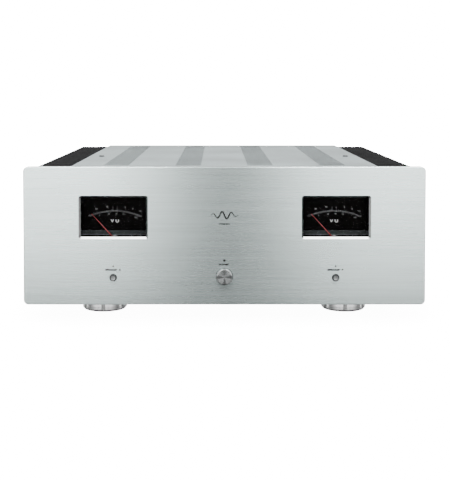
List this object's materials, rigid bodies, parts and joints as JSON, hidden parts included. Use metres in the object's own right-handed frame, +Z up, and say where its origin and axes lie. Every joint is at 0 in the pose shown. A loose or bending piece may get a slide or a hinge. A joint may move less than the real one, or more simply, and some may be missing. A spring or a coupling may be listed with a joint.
{
  "type": "stereo power amplifier",
  "caption": "Low, wide hi-fi power amplifier with a thick brushed front panel, needle level meters, push buttons, finned sides, a slotted top cover and round feet.",
  "frame": {"origin": "on the surface it stands on, under the middle of its outline", "axes": "+X to the right as seen from the front, +Y from the front panel to the rear, +Z up"},
  "size_m": [0.43, 0.441, 0.1649],
  "materials": {
    "panel": "brushed along its width, clear anodised",
    "cover": "satin, bead blasted and anodised",
    "steel": "zinc plated sheet, dull",
    "black_metal": "fine textured black paint",
    "heatsink": "black anodised extrusion, satin",
    "turned": "turned on its face, bright",
    "rubber": "moulded, matte",
    "lamp": "smoked tinted plastic, unlit",
    "circuit_board": "green solder mask",
    "black_plastic": "moulded, fine texture",
    "dial": "printed black dial, matte",
    "needle": "painted",
    "lens": "clear, polished",
    "winding": "wrapped in ochre tape over steel and copper",
    "capacitor_sleeve": "shrunk sleeve",
    "gold": "gold plated",
    "post_red": "tinted moulding over metal",
    "post_black": "tinted moulding over metal"
  },
  "bodies": {
    "chassis": {"amplifier_board_left": "circuit_board", "amplifier_board_right": "circuit_board", "base_plate": "steel", "control_board": "circuit_board", "cover_screw_left": "steel", "cover_screw_right": "steel", "cross_brace": "steel", "foot_front_left": "turned", "foot_front_right": "turned", "foot_pad_front_left": "rubber", "foot_pad_front_right": "rubber", "foot_pad_rear_left": "rubber", "foot_pad_rear_right": "rubber", "foot_rear_left": "turned", "foot_rear_right": "turned", "front_panel": "panel", "front_subpanel": "steel", "heatsink_left": "heatsink", "heatsink_right": "heatsink", "input_sockets": "gold", "mains_inlet": "black_plastic", "mains_switch": "black_plastic", "meter_dial_left": "dial", "meter_dial_right": "dial", "meter_housing_left": "black_plastic", "meter_housing_right": "black_plastic", "meter_lens_left": "lens", "meter_lens_right": "lens", "meter_movement_left": "steel", "meter_movement_right": "steel", "output_transistors_left": "black_plastic", "output_transistors_right": "black_plastic", "power_lamp": "lamp", "rear_panel": "black_metal", "reservoir_capacitor_1": "capacitor_sleeve", "reservoir_capacitor_2": "capacitor_sleeve", "reservoir_capacitor_3": "capacitor_sleeve", "reservoir_capacitor_4": "capacitor_sleeve", "speaker_a_lamp": "lamp", "speaker_b_lamp": "lamp", "supply_board": "circuit_board", "terminal_block_left": "black_plastic", "terminal_block_right": "black_plastic", "top_cover": "cover", "transformer": "winding", "transformer_clamp": "steel"},
    "power_button": {"power_button": "turned"},
    "speaker_a_button": {"speaker_a_button": "turned"},
    "speaker_b_button": {"speaker_b_button": "turned"},
    "meter_needle_left": {"meter_needle_left": "needle"},
    "meter_needle_right": {"meter_needle_right": "needle"},
    "fuse_drawer": {"fuse_drawer": "black_plastic"},
    "post_knob_left_a_positive": {"post_knob_left_a_positive": "post_red"},
    "post_knob_left_a_negative": {"post_knob_left_a_negative": "post_black"},
    "post_knob_left_b_positive": {"post_knob_left_b_positive": "post_red"},
    "post_knob_left_b_negative": {"post_knob_left_b_negative": "post_black"},
    "post_knob_right_a_positive": {"post_knob_right_a_positive": "post_red"},
    "post_knob_right_a_negative": {"post_knob_right_a_negative": "post_black"},
    "post_knob_right_b_positive": {"post_knob_right_b_positive": "post_red"},
    "post_knob_right_b_negative": {"post_knob_right_b_negative": "post_black"}
  },
  "joints": [
    {"name": "power_button_press", "type": "slide", "parent": "chassis", "child": "power_button", "axis": [0, 1, 0], "range_m": [0, 0.003], "stiffness_N_per_m": 400, "springref_m": -0.003},
    {"name": "speaker_a_button_press", "type": "slide", "parent": "chassis", "child": "speaker_a_button", "axis": [0, 1, 0], "range_m": [0, 0.002], "stiffness_N_per_m": 300, "springref_m": -0.003},
    {"name": "speaker_b_button_press", "type": "slide", "parent": "chassis", "child": "speaker_b_button", "axis": [0, 1, 0], "range_m": [0, 0.002], "stiffness_N_per_m": 300, "springref_m": -0.003},
    {"name": "meter_needle_left_swing", "type": "hinge", "parent": "chassis", "child": "meter_needle_left", "pos_m": [-0.1192, -0.1981, 0.0843], "axis": [0, 1, 0], "range_deg": [0, 85], "stiffness_Nm_per_rad": 0.001, "springref_deg": -11.46},
    {"name": "meter_needle_right_swing", "type": "hinge", "parent": "chassis", "child": "meter_needle_right", "pos_m": [0.1192, -0.1981, 0.0843], "axis": [0, 1, 0], "range_deg": [0, 85], "stiffness_Nm_per_rad": 0.001, "springref_deg": -11.46},
    {"name": "fuse_drawer_slide", "type": "slide", "parent": "chassis", "child": "fuse_drawer", "axis": [0, 1, 0], "range_m": [0, 0.015]},
    {"name": "terminal_knob_left_a_positive_screw", "type": "slide", "parent": "chassis", "child": "post_knob_left_a_positive", "axis": [0, 1, 0], "range_m": [0, 0.005]},
    {"name": "terminal_knob_left_a_negative_screw", "type": "slide", "parent": "chassis", "child": "post_knob_left_a_negative", "axis": [0, 1, 0], "range_m": [0, 0.005]},
    {"name": "terminal_knob_left_b_positive_screw", "type": "slide", "parent": "chassis", "child": "post_knob_left_b_positive", "axis": [0, 1, 0], "range_m": [0, 0.005]},
    {"name": "terminal_knob_left_b_negative_screw", "type": "slide", "parent": "chassis", "child": "post_knob_left_b_negative", "axis": [0, 1, 0], "range_m": [0, 0.005]},
    {"name": "terminal_knob_right_a_positive_screw", "type": "slide", "parent": "chassis", "child": "post_knob_right_a_positive", "axis": [0, 1, 0], "range_m": [0, 0.005]},
    {"name": "terminal_knob_right_a_negative_screw", "type": "slide", "parent": "chassis", "child": "post_knob_right_a_negative", "axis": [0, 1, 0], "range_m": [0, 0.005]},
    {"name": "terminal_knob_right_b_positive_screw", "type": "slide", "parent": "chassis", "child": "post_knob_right_b_positive", "axis": [0, 1, 0], "range_m": [0, 0.005]},
    {"name": "terminal_knob_right_b_negative_screw", "type": "slide", "parent": "chassis", "child": "post_knob_right_b_negative", "axis": [0, 1, 0], "range_m": [0, 0.005]}
  ]
}
